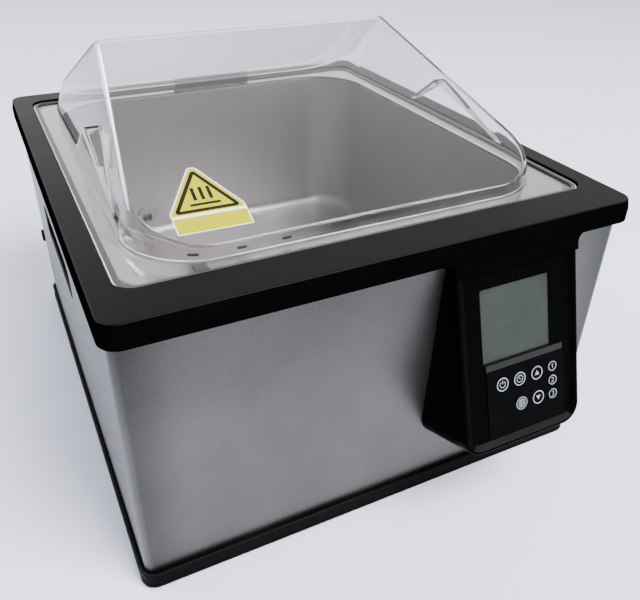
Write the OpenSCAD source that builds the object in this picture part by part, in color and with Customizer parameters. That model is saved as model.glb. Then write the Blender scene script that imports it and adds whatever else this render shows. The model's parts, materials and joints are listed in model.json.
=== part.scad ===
// Bench-top water bath: stainless tank in a metal casing with a hinged clear gable lid.
// Millimetres, +Z up, the control housing faces -Y, and Z = 0 is the bench.

/* [Casing] */
// Width of the bezel's top face; its skirt is a little wider
bezel_w = 361; // [350:1:370]
// Depth of the bezel's top face
bezel_d = 409.5; // [405:0.5:416]
// Height of the bezel's top face above the bench
bath_h = 216; // [212:1:222]
// Height of the bezel's skirt
skirt_h = 15.3; // [13:0.1:18]
// Width of the metal casing
case_w = 356; // [345:0.1:356]
// Depth of the metal casing
case_d = 394.8; // [390:0.1:396]
// Thickness of the casing sheet
sheet_t = 1.2; // [0.8:0.1:1.5]
// Width of the base tray
base_w = 362.4; // [358:0.1:364]
// Depth of the base tray
base_d = 403; // [400:0.5:405]
// Height of the base tray's rim above the bench
base_h = 13.7; // [12:0.1:16]

/* [Tank] */
// Width of the tank opening
tank_w = 297; // [290:1:298]
// Depth of the tank opening, front to back
tank_d = 324; // [318:1:325]
// Height of the tank floor above the bench
tank_floor_z = 66.2; // [62:0.1:72]
// Corner radius of the tank in plan
tank_r = 40; // [30:1:45]

/* [Lid] */
// Width of the lid at its upright lip
lid_w = 300; // [299:0.5:301]
// Depth of the lid at its upright lip
lid_d = 328.5; // [327:0.5:329]
// Height of the ridge above the bench
ridge_z = 296; // [285:1:300]
// Distance of the ridge behind the middle of the bath
ridge_y = 45.5; // [35:0.5:60]
// Wall thickness of the clear lid
lid_t = 2.5; // [2:0.1:3]
// How far the lid opens, in degrees
lid_open = 100; // [80:1:100]

/* [Control housing] */
// Distance of the housing's centre line from the middle of the bath
panel_x = 83; // [78:1:90]
// Width of the tilted face
panel_w = 98.6; // [94:0.1:100]
// Length of the tilted face
panel_l = 136; // [132:1:138]
// Rise of the face's tilt: depth gained for each millimetre of height
panel_slope = 0.319; // [0.28:0.001:0.34]
// Radius of a large key
key_r = 5.2; // [4.6:0.1:5.4]
// Radius of a programme key
small_key_r = 3.9; // [3.4:0.1:4.2]
// Travel of every key
key_travel = 0.4; // [0.3:0.05:0.5]

/* [Rear fittings] */
// Height of the power inlet, the switch and the reset button
rear_row_z = 39; // [38:1:42]
// Distance of the drain valve from the middle of the bath
valve_x = -150; // [-152:1:-146]
// Height of the drain valve's axis
valve_z = 48; // [44:1:50]
// Length of the drain lever's arm
lever_l = 30; // [26:1:32]

/* [Hidden] */
$fn = 64;
eps = 0.01;

// Heights of the stacked rim, from the bezel's ledge up to the lid's foot
ledge_z = bath_h - 6.8;
gasket_z = ledge_z + 0.8;
rim_z = gasket_z + 1;
frame_bottom_z = rim_z + 0.3;
frame_top_z = frame_bottom_z + 1.8;
curb_top_z = frame_top_z + 1.2;
lid_foot_z = frame_top_z + 0.3;

// Plan of the well, the same middle for tank, recess and lid
well_y = 4.5;
recess_w = 331;
recess_d = 357.5;
recess_r = 13;
wall = 2.5;
case_r = 6;
bezel_r = 11;
skirt_flare = 1.5;
flare_h = 7;
foot_gap = 2;
tray_floor_z = 5;
spacer_top = 14;
skirt_z = bath_h - skirt_h;
boss_z = bath_h - 12;
case_top_z = bath_h - 3.2;
case_front = -case_d / 2;
case_back = case_d / 2;

// Base tray details
base_r = 11;
tray_rim = 1.8;
foot_r = 11;
foot_x = 150;
foot_y = 168;
// Bands of the tray's wall from its foot to its rim: set back, lower and upper height
TRAY_BANDS = [
    [0, foot_gap, 3.6], [0.4, 3.5, base_h - 2], [0.9, base_h - 2.1, base_h - 1.2],
    [0.1, base_h - 1.3, base_h]
];

// Rear panel
panel_plate_w = 324;
panel_plate_h = 176;
panel_plate_z = 18;
rear_window_x = 138;
plate_back = case_back + sheet_t;
inlet_x = 112;
switch_x = 72;
reset_x = 46;
socket_front = plate_back + 2.4;
socket_back = case_back - 20;
rocker_rest = 10;
valve_r = 8;
barb_r = 4.8;
valve_stem_y = plate_back + 15;
valve_tail_y = case_back - 4;

// Tank and its fittings
tank_t = 1.2;
rim_w = 320;
rim_d = 347;
tank_back = well_y + tank_d / 2;
drain_x = -76;
drain_z = 86;
hose_r = 5.5;
hose_y = tank_back + 18.2;

// Hand holds in the casing's sides
grip_l = 133;
grip_h = 31;
grip_y = 27;
grip_z = 142.5;
grip_depth = 21;

// The tilted face: X across, Y up the face, Z out of it
tilt = atan(panel_slope);
face_y = -205;
face_top = 200;
face_cut = 10.6;
collar_left = -50.3;
collar_right = 49.3;
sweep_r = 7;
face_t = 4;
dish = 2.2;
face_r = 14;
outline_x = -1.3;
block_depth = 50;
lcd_x = -3;
lcd_w = 57.6;
lcd_top = 21.6;
lcd_h = 51.8;
sill_w = 65.4;
sill_h = 4.6;
overlay_x = 3;
overlay_w = 66;
overlay_top = 78.8;
overlay_h = 49.7;
overlay_t = 0.6;
key_gap = 0.3;
key_proud = 0.25;
board_w = -10.6;
board_t = 1.5;

// Keys: name, place across, place down the face, radius
power_at = [-17.4, 90.5];
timer_at = [-2.8, 90.5];
up_at = [12.1, 90.5];
menu_at = [-1.9, 109];
down_at = [12.8, 109];
program_x = 25.8;
program_top = 89.4;
program_pitch = 10.35;
KEYS = [
    [power_at, key_r], [timer_at, key_r], [up_at, key_r], [menu_at, key_r], [down_at, key_r],
    [[program_x, program_top], small_key_r],
    [[program_x, program_top + program_pitch], small_key_r],
    [[program_x, program_top + 2 * program_pitch], small_key_r]
];

// Lid
lid_y = 4.25;
lid_r = 50;
lip_top_z = bath_h + 8;
lid_front = lid_y - lid_d / 2;
lid_back = lid_y + lid_d / 2;
side_draft = 0.4;
front_slope = 0.355;
back_slope = 0.6;
bulge_front = -102;
bulge_back = 27;
bulge_peak_y = -22;
bulge_peak_z = 254.5;
label_x = -99;
label_up = 11;

// Lid hinge
hinge_x = 5.5;
hinge_y = 175;
hinge_z = 215;
hinge_half = 31;
knuckle_l = 7;
knuckle_r = 3.6;
barrel_r = 3.4;
pin_r = 1.5;
pin_fit = 0.05;

// ---------------------------------------------------------------- shared shapes

// Rectangle with round corners, centred on X and on the line y = cy
module round_rect(w, d, r, cy = 0) {
    translate([-w / 2 + r, cy - d / 2]) square([w - 2 * r, d]);
    translate([-w / 2, cy - d / 2 + r]) square([w, d - 2 * r]);
    for (sx = [-1, 1], sy = [-1, 1])
        translate([sx * (w / 2 - r), cy + sy * (d / 2 - r)]) circle(r);
}

// Upright slab of that plan between two heights
module slab(w, d, r, z0, z1, cy = 0) {
    translate([0, 0, z0]) linear_extrude(z1 - z0) round_rect(w, d, r, cy);
}

// Block given by its two opposite corners
module block(lo, hi) {
    translate(lo) cube(hi - lo);
}

// Round rod from one point to another
module rod(a, b, r) {
    v = b - a;
    h = norm(v);
    translate(a) rotate([0, acos(v.z / h), atan2(v.y, v.x)]) cylinder(r = r, h = h);
}

// Bent rod through a list of points, with a ball in each bend
module bent_rod(points, r) {
    for (i = [0 : len(points) - 2])
        rod(points[i], points[i + 1], r);
    for (i = [1 : len(points) - 2])
        translate(points[i]) sphere(r * 1.1);
}

// Places its children on the tilted face, at x across and y down from its top
module on_face(x = 0, down = 0, out = 0) {
    translate([panel_x, face_y, face_top]) rotate([90 - tilt, 0, 0])
        translate([x, -down, out]) children();
}

// Round part that runs along Y from y0 to y1
module along_y(x, z, y0, y1, r) {
    translate([x, y0, z]) rotate([-90, 0, 0]) cylinder(r = r, h = y1 - y0);
}

// Pan-head screw with a cross recess, driven along -Z from the origin
module screw(head_r = 3, head_h = 1.8, shank_r = 1.5, shank_l = 8) {
    difference() {
        cylinder(r = head_r, h = head_h);
        for (a = [0, 90])
            rotate([0, 0, a]) translate([-head_r * 0.6, -0.35, head_h - 0.9])
                cube([head_r * 1.2, 0.7, 1]);
    }
    translate([0, 0, -shank_l]) cylinder(r = shank_r, h = shank_l);
}

// ---------------------------------------------------------------- base

module foot_places() {
    for (sx = [-1, 1], sy = [-1, 1])
        translate([sx * foot_x, sy * foot_y, 0]) children();
}

module base_tray() {
    color("#1b1c1e") difference() {
        union() {
            for (b = TRAY_BANDS)
                slab(base_w - 2 * b[0], base_d - 2 * b[0], base_r - b[0], b[1], b[2]);
        }
        slab(base_w - 2 * tray_rim, base_d - 2 * tray_rim, base_r - tray_rim, base_h - 4, base_h + 1);
        slab(case_w + 0.3, case_d + 0.3, case_r + 0.15, tray_floor_z, base_h + 1);
        foot_places() translate([0, 0, foot_gap - 1]) cylinder(r = foot_r + 0.1, h = 2.2);
        foot_places() cylinder(r = 2, h = 10);
        for (i = [-5 : 5])
            block([i * 14 - 1.6, 40, 0], [i * 14 + 1.6, 110, tray_floor_z + 1]);
    }
}

module rubber_feet() {
    color("#101010") foot_places() difference() {
        union() {
            cylinder(r = foot_r - 1, h = 1.2);
            translate([0, 0, 1]) cylinder(r = foot_r, h = foot_gap + 0.2);
        }
        translate([0, 0, -1]) cylinder(r = 4, h = 2.2);
        translate([0, 0, -1]) cylinder(r = 2, h = 6);
    }
}

module foot_screws() {
    color("#b9bcc0") foot_places() translate([0, 0, 1.2]) mirror([0, 0, 1])
        screw(3.4, 0.9, 1.9, 6.5);
}

// ---------------------------------------------------------------- casing

module grip_slot(depth) {
    rotate([90, 0, 90]) linear_extrude(depth) {
        square([grip_l - grip_h, grip_h], center = true);
        for (s = [-1, 1])
            translate([s * (grip_l - grip_h) / 2, 0]) circle(grip_h / 2);
    }
}

module outer_casing() {
    color("#9a9da1") difference() {
        union() {
            difference() {
                slab(case_w, case_d, case_r, tray_floor_z, case_top_z);
                slab(case_w - 2 * sheet_t, case_d - 2 * sheet_t, case_r - sheet_t,
                    tray_floor_z + sheet_t, case_top_z + 1);
            }
            for (s = [-1, 1], y = [-120, 120])
                block([s * 172.3 - 5, y - 8, boss_z - sheet_t], [s * 172.3 + 5, y + 8, boss_z]);
        }
        bezel_screw_places() cylinder(r = 1.6, h = 4, center = true);
        block([-case_w / 2 + 24, case_front + 24, 0], [case_w / 2 - 24, case_back - 24, 20]);
        block([-rear_window_x, case_back - 5, panel_plate_z + 8],
            [rear_window_x, case_back + 5, panel_plate_z + panel_plate_h - 8]);
        along_y(valve_x, valve_z, case_back - 5, case_back + 5, valve_r + 0.4);
        block([panel_x - 36, case_front - 5, 84], [panel_x + 36, case_front + 5, 164]);
        for (s = [-1, 1])
            translate([s * case_w / 2 - 5, grip_y, grip_z]) grip_slot(10);
        rear_screw_places() cylinder(r = 1.6, h = 12, center = true);
        foot_places() cylinder(r = 2, h = 10);
    }
}

module rear_screw_places() {
    for (x = [-157, -52, 52, 157], z = [panel_plate_z + 4, panel_plate_z + panel_plate_h - 4])
        translate([x, plate_back, z]) rotate([-90, 0, 0]) children();
}

module rear_panel() {
    color("#2a2b2d") difference() {
        block([-panel_plate_w / 2, case_back, panel_plate_z],
            [panel_plate_w / 2, plate_back, panel_plate_z + panel_plate_h]);
        rear_screw_places() cylinder(r = 1.6, h = 8, center = true);
        for (s = [-1, 1])
            along_y(inlet_x + s * 19, rear_row_z, case_back - 1, plate_back + 1, 1.6);
        block([inlet_x - 14, case_back - 1, rear_row_z - 12.5],
            [inlet_x + 14, plate_back + 1, rear_row_z + 17.5]);
        block([switch_x - 6.6, case_back - 1, rear_row_z - 9.6],
            [switch_x + 6.6, plate_back + 1, rear_row_z + 9.6]);
        along_y(reset_x, rear_row_z, case_back - 1, plate_back + 1, 5.6);
        along_y(valve_x, valve_z, case_back - 1, plate_back + 1, valve_r + 0.1);
        for (i = [0 : 7], s = [-1, 1])
            block([s * 58 - 22, case_back - 1, 118 + i * 7],
                [s * 58 + 22, plate_back + 1, 120.4 + i * 7]);
    }
}

module rear_panel_screws() {
    color("#b9bcc0") rear_screw_places() screw(3, 1.6, 1.5, 7);
}

// ---------------------------------------------------------------- bezel and tank

// Front view of the collar: its sides sweep out into the bezel's skirt
module collar_outline() {
    low = -face_cut + 0.2;
    difference() {
        translate([collar_left - sweep_r, low])
            square([collar_right - collar_left + 2 * sweep_r, 6 - low]);
        for (x = [collar_left - sweep_r, collar_right + sweep_r])
            translate([x, 0.6 - sweep_r]) circle(sweep_r);
        translate([collar_left - sweep_r - 1, low - 1]) square([sweep_r + 1, 1.6 - low - sweep_r]);
        translate([collar_right, low - 1]) square([sweep_r + 1, 1.6 - low - sweep_r]);
    }
}

// Part of the bezel that laps over the top of the control housing
module collar() {
    intersection() {
        on_face(0, 0, -40) linear_extrude(40.6) collar_outline();
        block([-50, case_front - 30, skirt_z - 14], [bezel_w / 2, case_front - 0.1, bath_h - 8]);
    }
}

// Outside of the bezel: it widens from its top edge down to its skirt
module bezel_outside() {
    wide = bezel_w + 2 * skirt_flare;
    deep = bezel_d + 2 * skirt_flare;
    r = bezel_r + skirt_flare;
    hull() {
        slab(bezel_w, bezel_d, bezel_r, bath_h - 0.1, bath_h);
        slab(wide, deep, r, bath_h - flare_h - 0.5, bath_h - flare_h);
    }
    slab(wide, deep, r, skirt_z, bath_h - flare_h - 0.1);
}

module top_bezel() {
    color("#1d1e20") difference() {
        union() {
            difference() {
                bezel_outside();
                slab(bezel_w - 2 * 2.2, bezel_d - 2 * 2.2, bezel_r - 2.2, skirt_z - 1, bath_h - 3);
            }
            slab(recess_w + 2 * wall, recess_d + 2 * wall, recess_r + wall, ledge_z,
                bath_h - 2.9, well_y);
            collar();
            bezel_screw_places() cylinder(r = 3.4, h = bath_h - 2.9 - boss_z);
        }
        slab(recess_w, recess_d, recess_r, ledge_z - 1, bath_h + 1, well_y);
        bezel_screw_places() cylinder(r = 1.35, h = 6.6);
    }
}

// Flat ring at the foot of the bezel's recess that carries the tank's rim
module support_ledge() {
    color("#1d1e20") difference() {
        slab(recess_w + 2 * wall, recess_d + 2 * wall, recess_r + wall, ledge_z - 2.5, ledge_z, well_y);
        slab(tank_w + 6, tank_d + 6, tank_r + 3, ledge_z - 4, ledge_z + 1, well_y);
    }
}

module bezel_screw_places() {
    for (sx = [-1, 1], y = [-120, 120])
        translate([sx * 171.6, y, boss_z]) children();
}

module bezel_screws() {
    color("#b9bcc0") bezel_screw_places() translate([0, 0, -sheet_t]) mirror([0, 0, 1])
        screw(2.6, 1.6, 1.3, 7);
}

module rim_gasket() {
    color("#c9c9c4") difference() {
        slab(tank_w + 22, tank_d + 22, tank_r + 8, ledge_z, gasket_z, well_y);
        slab(tank_w + 8, tank_d + 8, tank_r + 4, ledge_z - 1, gasket_z + 1, well_y);
    }
}

module tank() {
    color("#b5b5b0") difference() {
        tank_outside(tank_floor_z - tank_t, rim_z);
        slab(tank_w, tank_d, tank_r, tank_floor_z, rim_z + 1, well_y);
        along_y(drain_x, drain_z, tank_back - 5, tank_back + 5, valve_r);
    }
}

module tank_outside(z0, z1) {
    slab(tank_w + 2 * tank_t, tank_d + 2 * tank_t, tank_r + tank_t, z0, z1, well_y);
}

// Flat steel rim welded round the top of the tank
module tank_rim() {
    color("#c4c4c0") difference() {
        slab(rim_w, rim_d, 18, gasket_z, rim_z, well_y);
        tank_outside(gasket_z - 1, rim_z + 1);
    }
}

module insulation_wrap() {
    color("#e6dfc8") difference() {
        slab(tank_w + 22, tank_d + 22, tank_r + 11, 68, 205, well_y);
        slab(tank_w + 3.4, tank_d + 3.4, tank_r + 1.7, 67, 206, well_y);
        for (s = [-1, 1])
            block([s * 165 - 20, grip_y - 74, grip_z - 24], [s * 165 + 20, grip_y + 74, grip_z + 24]);
        block([drain_x - 16, 150, drain_z - 16], [drain_x + 16, 200, drain_z + 16]);
    }
}

module insulation_board() {
    color("#e6dfc8") difference() {
        slab(tank_w - 6, tank_d - 6, tank_r, 54, 61.4, well_y);
        translate([0, 60, 50]) cylinder(r = 16, h = 20);
        translate([60, 60, 50]) cylinder(r = 16, h = 20);
        translate([18, 40, 50]) cylinder(r = 10, h = 20);
    }
}

module heater_pad() {
    color("#b5462c") difference() {
        slab(240, 262, 12, 62, tank_floor_z - tank_t, well_y);
        translate([0, 60, 50]) cylinder(r = 10, h = 20);
        translate([60, 60, 50]) cylinder(r = 14, h = 20);
    }
}

module temperature_probe() {
    color("#c8cacd") {
        translate([0, 60, 52]) cylinder(r = 3, h = tank_floor_z - tank_t - 52);
        translate([0, 60, 48]) cylinder(r = 4.5, h = 4);
    }
}

module overheat_cutout() {
    color("#2b2b2b") {
        translate([60, 60, 53]) cylinder(r = 8, h = 9);
        translate([60, 60, 62]) cylinder(r = 12, h = tank_floor_z - tank_t - 62);
        for (s = [-1, 1])
            translate([60 + s * 4, 59.6, 47]) cube([0.8, 6, 6.5]);
    }
}

// ---------------------------------------------------------------- drain

module drain_fitting() {
    color("#cfd1d3") difference() {
        union() {
            along_y(drain_x, drain_z, tank_back - 2.6, tank_back, 11);
            along_y(drain_x, drain_z, tank_back - 1, tank_back + 8, valve_r - 0.1);
            along_y(drain_x, drain_z, tank_back + tank_t, tank_back + 5.2, 11.5);
        }
        along_y(drain_x, drain_z, tank_back - 5, tank_back + 20, 5);
    }
}

module drain_hose() {
    color("#dcdcd6") bent_rod([
        [drain_x, tank_back + 8, drain_z], [drain_x, hose_y, drain_z],
        [valve_x, hose_y, valve_z], [valve_x, valve_tail_y, valve_z]
    ], hose_r);
}

module valve_body() {
    color("#c9a45a") difference() {
        union() {
            along_y(valve_x, valve_z, valve_tail_y, plate_back + 1, valve_r);
            translate([valve_x, plate_back, valve_z]) rotate([-90, 30, 0])
                cylinder(r = 12, h = 5, $fn = 6);
            along_y(valve_x, valve_z, plate_back + 4, plate_back + 27, 9);
            translate([valve_x, plate_back + 26, valve_z]) rotate([-90, 30, 0])
                cylinder(r = 9.6, h = 4, $fn = 6);
            along_y(valve_x, valve_z, plate_back + 28, -housing_reach(), barb_r);
            translate([valve_x, valve_stem_y, valve_z]) cylinder(r = 5, h = 10.6);
        }
        along_y(valve_x, valve_z, plate_back + 18, -housing_reach() + 1, 3);
    }
}

// How far forward the tilted face reaches: the valve's barb reaches as far to the back
function housing_reach() = face_y - panel_l * sin(tilt);

module drain_lever() {
    color("#1a1a1c") translate([valve_x, valve_stem_y, valve_z]) {
        translate([0, 0, 11]) cylinder(r = 5.4, h = 10);
        translate([-lever_l + 4, -3, 12.5]) cube([lever_l - 4, 6, 5]);
        translate([-lever_l + 4, 0, 11]) cylinder(r = 4, h = 11);
    }
}

// ---------------------------------------------------------------- hand holds

// Block behind the casing's side, of that depth and that much larger than the hand hold
module grip_plate(side, depth, extra) {
    translate([side * (case_w / 2 - sheet_t) - (side > 0 ? depth : 0), grip_y, grip_z])
        rotate([90, 0, 90]) linear_extrude(depth)
            square([grip_l + extra, grip_h + extra], center = true);
}

module grip_cup(side) {
    color("#202124") difference() {
        union() {
            grip_plate(side, 2, 12);
            grip_plate(side, grip_depth, 4);
        }
        translate([side * (case_w / 2 - sheet_t) - (side > 0 ? grip_depth - 2 : 1), grip_y, grip_z])
            grip_slot(grip_depth - 1);
    }
}

module grip_cup_left() {
    grip_cup(-1);
}

module grip_cup_right() {
    grip_cup(1);
}

// ---------------------------------------------------------------- control housing

// Face outline with round lower corners; grow widens it on every side
module face_outline(grow = 0, r = face_r) {
    half = panel_w / 2 + grow;
    translate([outline_x, 0]) {
        translate([-half, -panel_l - grow + r]) square([2 * half, panel_l + 2 * grow]);
        translate([-half + r, -panel_l - grow]) square([2 * half - 2 * r, 2 * r]);
        for (s = [-1, 1])
            translate([s * (half - r), -panel_l - grow + r]) circle(r, $fn = 48);
    }
}

// Solid block of the housing, a little wider at the casing than at the face
module housing_block(inset = 0) {
    hull() {
        translate([0, 0, -0.1]) linear_extrude(0.1) face_outline(-inset, face_r - inset);
        translate([0, 0, -block_depth]) linear_extrude(0.1) face_outline(3.6 - inset, face_r + 2 - inset);
    }
}

// Room that the housing may fill: in front of the casing and below the collar
module housing_room(out_low, out_high) {
    intersection() {
        block([-20, -260, 20], [bezel_w / 2, case_front, 220]);
        on_face(0, 0, out_low) translate([-80, -200, 0]) cube([160, 200 - face_cut, out_high - out_low]);
    }
}

module control_housing() {
    color("#151617") difference() {
        intersection() {
            on_face() housing_block();
            housing_room(-80, -face_t);
        }
        difference() {
            on_face() housing_block(wall);
            on_face(0, 0, -80) translate([-80, -face_cut - wall, 0]) cube([160, 40, 90]);
        }
    }
}

module key_holes(gap, out) {
    for (k = KEYS)
        on_face(k[0].x, k[0].y, out) cylinder(r = k[1] + gap, h = 6);
}

module face_panel() {
    color("#17181a") difference() {
        intersection() {
            on_face() housing_block();
            housing_room(-face_t, 1);
        }
        on_face() hull() {
            linear_extrude(0.2) face_outline(-1.6, face_r - 1.6);
            translate([0, 0, -dish]) linear_extrude(0.1) face_outline(-6.6, face_r - 6.6);
        }
        on_face(lcd_x, lcd_top, -6) translate([-lcd_w / 2, -lcd_h, 0]) cube([lcd_w, lcd_h, 8]);
        key_holes(key_gap, -5);
    }
}

// Raised light bar under the display
module display_sill() {
    color("#5c5e60") on_face(lcd_x + 5.1, overlay_top - 0.3, -dish)
        translate([-sill_w / 2, 0, 0]) cube([sill_w, sill_h, 1]);
}

module display_window() {
    color("#9aa59c", 0.35) on_face(lcd_x, lcd_top, -3.4)
        translate([-lcd_w / 2 + 0.15, -lcd_h + 0.15, 0]) cube([lcd_w - 0.3, lcd_h - 0.3, 1.2]);
}

module lcd_module() {
    color("#6b746a") on_face(lcd_x, lcd_top, -8.2)
        translate([-lcd_w / 2 - 4, -lcd_h - 3, 0]) cube([lcd_w + 8, lcd_h + 6, 4]);
}

module keypad_overlay() {
    color("#1c1e1f") difference() {
        on_face(overlay_x, overlay_top, -dish + 0.1)
            translate([-overlay_w / 2, -overlay_h, 0]) cube([overlay_w, overlay_h, overlay_t]);
        key_holes(key_gap, -4);
    }
}

module face_key(at, r) {
    color("#2b2d2f") on_face(at.x, at.y, 0) {
        translate([0, 0, -face_t + 0.2]) cylinder(r = r, h = face_t - 0.2 - dish + overlay_t + key_proud);
        translate([0, 0, -8.6]) cylinder(r = 1.6, h = 5);
    }
}

module power_key() {
    face_key(power_at, key_r);
}

module timer_key() {
    face_key(timer_at, key_r);
}

module up_key() {
    face_key(up_at, key_r);
}

module down_key() {
    face_key(down_at, key_r);
}

module menu_key() {
    face_key(menu_at, key_r);
}

module program_key(i) {
    face_key([program_x, program_top + i * program_pitch], small_key_r);
}

module program_1_key() {
    program_key(0);
}

module program_2_key() {
    program_key(1);
}

module program_3_key() {
    program_key(2);
}

module control_board() {
    color("#1f5a36") on_face(0, 24, board_w - board_t)
        translate([-42, -104, 0]) cube([84, 104, board_t]);
}

module board_parts() {
    color("#3a3b3d") {
        for (k = KEYS)
            on_face(k[0].x - 3, k[0].y + 3, board_w) cube([6, 6, 1.4]);
        on_face(-30, 62, board_w) cube([52, 5, 2.2]);
        on_face(-34, 118, board_w - board_t - 6) cube([14, 14, 6]);
        on_face(4, 122, board_w - board_t - 8) cube([26, 8, 8]);
        on_face(-6, 100, board_w - board_t - 2) cube([12, 12, 2]);
    }
}

// ---------------------------------------------------------------- inside the base

module board_spacers() {
    color("#d8d8d4") for (x = [-18, 112], y = [-160, -72])
        translate([x, y, tray_floor_z]) cylinder(r = 3, h = spacer_top - tray_floor_z);
}

module power_board() {
    color("#1f5a36") block([-24, -166, spacer_top], [118, -66, spacer_top + 1.6]);
}

module power_parts() {
    color("#44464a") translate([0, 0, spacer_top + 1.6]) {
        block([-16, -154, 0], [24, -120, 26]);
        block([36, -154, 0], [64, -142, 16]);
        block([36, -136, 0], [64, -124, 16]);
        block([76, -150, 0], [108, -130, 24]);
        block([-16, -88, 0], [50, -78, 12]);
        for (x = [76, 92])
            translate([x, -100, 0]) cylinder(r = 6, h = 20);
        block([10, -112, 0], [30, -98, 3]);
        block([56, -119, 0], [70, -111, 9]);
    }
}

module control_cable() {
    color("#7b7f86") bent_rod([
        [panel_x + 17, -219, 84], [panel_x + 17, -208, 95], [panel_x + 4, -188, 95],
        [panel_x + 4, -184, 50], [panel_x + 4, -160, 46], [63, -115, 46], [63, -115, 24.7]
    ], 2.4);
}

module heater_leads() {
    color("#a8322a") for (s = [-1, 1])
        bent_rod([
            [s * 6 + 18, 40, 61.9], [s * 6 + 18, 40, 46], [s * 6 + 18, -60, 40],
            [s * 6 + 18, -83, 36], [s * 6 + 18, -83, 27.7]
        ], 1.2);
}

module mains_leads() {
    color("#4a4c50") for (s = [-1, 1])
        bent_rod([
            [inlet_x + s * 7, socket_back - 5, rear_row_z - 2], [inlet_x + s * 7, 120, 26],
            [84 + s * 4, 0, 24], [84 + s * 4, -68, 24], [84 + s * 4, -68, 15.7]
        ], 1.6);
}

// ---------------------------------------------------------------- mains fittings

module inlet_socket() {
    color("#161617") difference() {
        union() {
            block([inlet_x - 24, plate_back, rear_row_z - 15],
                [inlet_x + 24, socket_front, rear_row_z + 20]);
            block([inlet_x - 13.8, socket_back, rear_row_z - 12.3],
                [inlet_x + 13.8, plate_back + eps, rear_row_z + 17.3]);
        }
        block([inlet_x - 12, socket_back + 3, rear_row_z - 8.5],
            [inlet_x + 12, socket_front + 1, rear_row_z + 7.5]);
        block([inlet_x - 9.3, socket_back + 3, rear_row_z + 9.3],
            [inlet_x + 9.3, socket_front + 1, rear_row_z + 15.9]);
        for (s = [-1, 1])
            along_y(inlet_x + s * 19, rear_row_z, plate_back - 1, socket_front + 1, 1.7);
        pin_blades();
    }
}

module inlet_screws() {
    color("#b9bcc0") for (s = [-1, 1])
        translate([inlet_x + s * 19, socket_front, rear_row_z]) rotate([-90, 0, 0])
            screw(2.6, 1.4, 1.5, 9);
}

module pin_blades() {
    for (p = [[-7, -2], [0, 2], [7, -2]])
        block([inlet_x + p[0] - 1, socket_back - 4, rear_row_z + p[1] - 2],
            [inlet_x + p[0] + 1, plate_back - 4, rear_row_z + p[1] + 2]);
}

module inlet_pins() {
    color("#c9b27a") pin_blades();
}

module fuse_drawer() {
    color("#232325") difference() {
        block([inlet_x - 9, socket_back + 3.4, rear_row_z + 9.6],
            [inlet_x + 9, socket_front + 0.6, rear_row_z + 15.6]);
        block([inlet_x - 7.6, socket_back + 6, rear_row_z + 11],
            [inlet_x + 7.6, plate_back - 4, rear_row_z + 17]);
        block([inlet_x - 4, socket_front - 0.4, rear_row_z + 9],
            [inlet_x + 4, socket_front + 2, rear_row_z + 10.6]);
    }
}

module switch_frame() {
    color("#161617") difference() {
        union() {
            block([switch_x - 8.6, plate_back, rear_row_z - 11.6],
                [switch_x + 8.6, plate_back + 1.8, rear_row_z + 11.6]);
            block([switch_x - 6.5, case_back - 16, rear_row_z - 9.5],
                [switch_x + 6.5, plate_back + eps, rear_row_z + 9.5]);
        }
        block([switch_x - 4.8, case_back - 12, rear_row_z - 8],
            [switch_x + 4.8, plate_back + 4, rear_row_z + 8]);
        translate([switch_x - 6, plate_back - 3, rear_row_z]) rotate([0, 90, 0])
            cylinder(r = 1.05, h = 12);
    }
}

module rocker() {
    color("#26272a") translate([switch_x, plate_back - 3, rear_row_z]) {
        rotate([0, 90, 0]) translate([0, 0, -5.7]) cylinder(r = 1, h = 11.4);
        rotate([rocker_rest, 0, 0]) difference() {
            translate([-4.5, -2.2, -7]) cube([9, 6.4, 14]);
            translate([-6, 22.4, 0]) rotate([0, 90, 0]) cylinder(r = 20, h = 12);
        }
    }
}

module reset_bushing() {
    color("#c4c6c9") difference() {
        union() {
            along_y(reset_x, rear_row_z, case_back - 14, plate_back, 5.5);
            translate([reset_x, plate_back, rear_row_z]) rotate([-90, 30, 0])
                cylinder(r = 8, h = 2.4, $fn = 6);
        }
        along_y(reset_x, rear_row_z, case_back - 10, plate_back + 4, 3.06);
    }
}

module reset_button() {
    color("#b3271e") along_y(reset_x, rear_row_z, case_back - 6, plate_back + 5.4, 3);
}

// ---------------------------------------------------------------- lid

// Clear ring that lies on the tank's rim, with a notch for the hinge barrel
module lid_frame() {
    color("#dfe6e8", 0.35) difference() {
        union() {
            slab(recess_w - 1, recess_d - 1, recess_r - 0.5, frame_bottom_z, frame_top_z, well_y);
            difference() {
                slab(recess_w - 1, recess_d - 1, recess_r - 0.5, frame_bottom_z, curb_top_z, well_y);
                slab(recess_w - 9, recess_d - 9, recess_r - 4.5, frame_bottom_z - 1, curb_top_z + 1,
                    well_y);
            }
            block([-120, lid_front - 10, frame_top_z - 0.5], [-112, lid_front - 2, frame_top_z + 1.6]);
        }
        slab(lid_w - 2 * lid_t, lid_d - 2 * lid_t, lid_r - lid_t, frame_bottom_z - 1, frame_top_z + 3,
            lid_y);
        block([hinge_x - hinge_half - 0.4, hinge_y - 4.2, frame_bottom_z - 1],
            [hinge_x + hinge_half + 0.4, hinge_y + 4.2, frame_top_z + 1]);
    }
}

module hinge_rod(x0, x1, r) {
    translate([x0, hinge_y, hinge_z]) rotate([0, 90, 0]) cylinder(r = r, h = x1 - x0);
}

module hinge_bracket() {
    color("#dfe6e8", 0.4) difference() {
        union() {
            for (x0 = [hinge_x + hinge_half, hinge_x - hinge_half - knuckle_l]) {
                hinge_rod(x0, x0 + knuckle_l, knuckle_r);
                block([x0, hinge_y - knuckle_r, frame_top_z],
                    [x0 + knuckle_l, hinge_y + knuckle_r, hinge_z]);
            }
        }
        hinge_rod(hinge_x - 60, hinge_x + 60, pin_r + pin_fit);
        block([hinge_x - 60, hinge_y - 8, frame_top_z - 4], [hinge_x + 60, hinge_y + 8, frame_top_z]);
    }
}

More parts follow.
